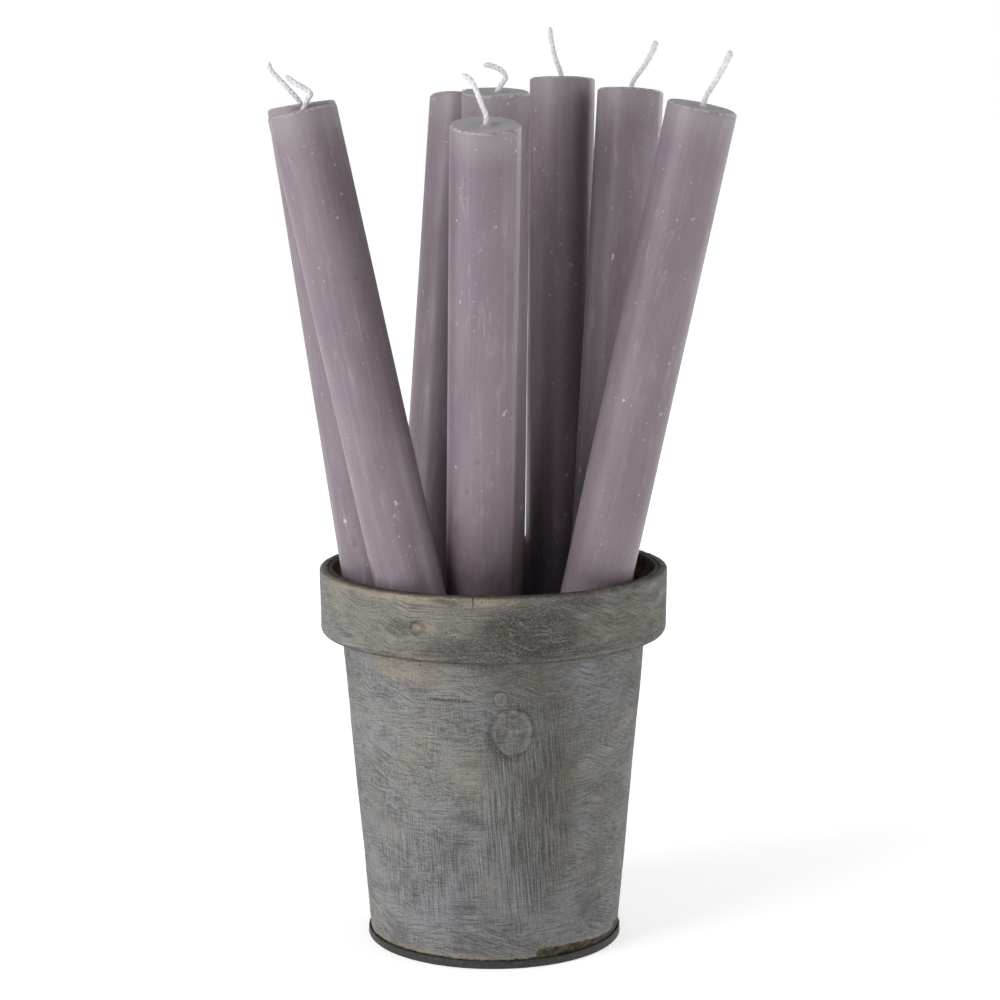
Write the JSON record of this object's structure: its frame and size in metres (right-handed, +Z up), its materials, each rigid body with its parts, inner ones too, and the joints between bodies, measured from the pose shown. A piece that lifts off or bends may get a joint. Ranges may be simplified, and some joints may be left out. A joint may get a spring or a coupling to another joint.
{
  "type": "tin pot of dinner candles",
  "caption": "Weathered painted tin pot with a stepped collar, holding tall rustic dinner candles that fan out and lift out one by one.",
  "frame": {"origin": "centre of the pot's flat underside", "axes": "+Z up, along the pot's axis; -Y towards the side with the oval patch and the slit in the collar"},
  "size_m": [0.1403, 0.1344, 0.286],
  "materials": {
    "body_paint": "hand-brushed grey paint, worn",
    "collar_paint": "hand-brushed olive-grey paint over brown, worn",
    "bare_tin": "dull tinned sheet, stained",
    "rusted_ring": "dark, rusted crimp",
    "wax_mauve": "mauve-grey wax, speckled",
    "wick_cotton": "waxed cotton braid"
  },
  "bodies": {
    "pot": {"pot_wall": "body_paint", "collar_band": "collar_paint", "collar_lap": "bare_tin", "bottom_plate": "bare_tin", "base_ring": "rusted_ring", "side_seam": "body_paint", "front_boss": "body_paint", "boss_rivet": "body_paint"},
    "candle_1": {"candle_wax_1": "wax_mauve", "candle_wick_1": "wick_cotton"},
    "candle_2": {"candle_wax_2": "wax_mauve", "candle_wick_2": "wick_cotton"},
    "candle_3": {"candle_wax_3": "wax_mauve", "candle_wick_3": "wick_cotton"},
    "candle_4": {"candle_wax_4": "wax_mauve", "candle_wick_4": "wick_cotton"},
    "candle_5": {"candle_wax_5": "wax_mauve", "candle_wick_5": "wick_cotton"},
    "candle_6": {"candle_wax_6": "wax_mauve", "candle_wick_6": "wick_cotton"},
    "candle_7": {"candle_wax_7": "wax_mauve", "candle_wick_7": "wick_cotton"},
    "candle_8": {"candle_wax_8": "wax_mauve", "candle_wick_8": "wick_cotton"}
  },
  "joints": [
    {"name": "lift_candle_1", "type": "slide", "parent": "pot", "child": "candle_1", "axis": [-0.2095, -0.0073, 0.9778], "range_m": [0, 0.27]},
    {"name": "lift_candle_2", "type": "slide", "parent": "pot", "child": "candle_2", "axis": [-0.1474, 0.034, 0.9885], "range_m": [0, 0.27]},
    {"name": "lift_candle_3", "type": "slide", "parent": "pot", "child": "candle_3", "axis": [0.0643, 0.2102, 0.9755], "range_m": [0, 0.27]},
    {"name": "lift_candle_4", "type": "slide", "parent": "pot", "child": "candle_4", "axis": [0.0105, -0.1197, 0.9928], "range_m": [0, 0.27]},
    {"name": "lift_candle_5", "type": "slide", "parent": "pot", "child": "candle_5", "axis": [0.0159, -0.2278, 0.9736], "range_m": [0, 0.27]},
    {"name": "lift_candle_6", "type": "slide", "parent": "pot", "child": "candle_6", "axis": [0.0109, 0.0777, 0.9969], "range_m": [0, 0.27]},
    {"name": "lift_candle_7", "type": "slide", "parent": "pot", "child": "candle_7", "axis": [0.0592, 0.1025, 0.993], "range_m": [0, 0.27]},
    {"name": "lift_candle_8", "type": "slide", "parent": "pot", "child": "candle_8", "axis": [0.1997, -0.1107, 0.9736], "range_m": [0, 0.27]}
  ]
}
